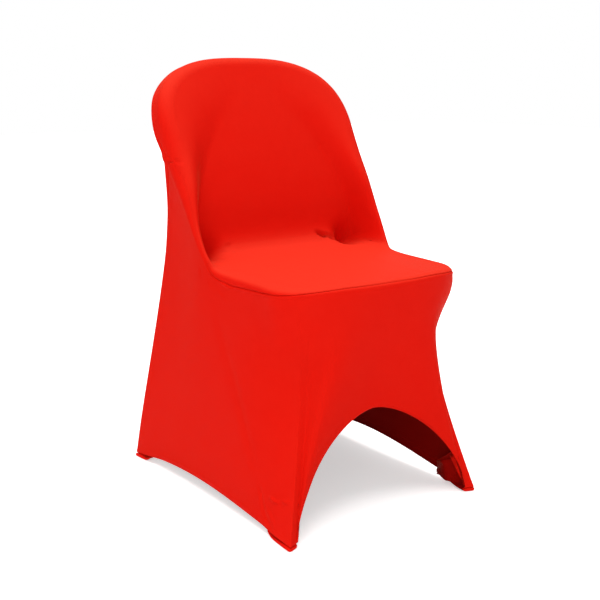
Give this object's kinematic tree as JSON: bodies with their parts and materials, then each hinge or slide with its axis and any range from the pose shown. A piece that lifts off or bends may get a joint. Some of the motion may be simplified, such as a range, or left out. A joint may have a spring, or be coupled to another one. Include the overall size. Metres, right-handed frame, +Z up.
{
  "type": "fitted stretch cover for a folding chair",
  "caption": "Hollow fitted cover of stretch knit that slips over a folding chair, with winged sides, an arched hem and a pocket for each foot.",
  "frame": {"origin": "under the top of the back, on the middle plane, where the top of the chair's back touches the cloth", "axes": "+X to the right as the front is looked at, +Y to the rear, +Z up"},
  "size_m": [0.4424, 0.5499, 0.8048],
  "materials": {
    "red_stretch_knit": "satin stretch knit of polyester and elastane, one bright red"
  },
  "bodies": {
    "root": {"back_seat_panel": "red_stretch_knit", "skirt_panel": "red_stretch_knit", "rear_panel": "red_stretch_knit", "foot_pocket_front_left": "red_stretch_knit", "foot_pocket_front_right": "red_stretch_knit", "foot_pocket_rear_left": "red_stretch_knit", "foot_pocket_rear_right": "red_stretch_knit"}
  },
  "joints": []
}
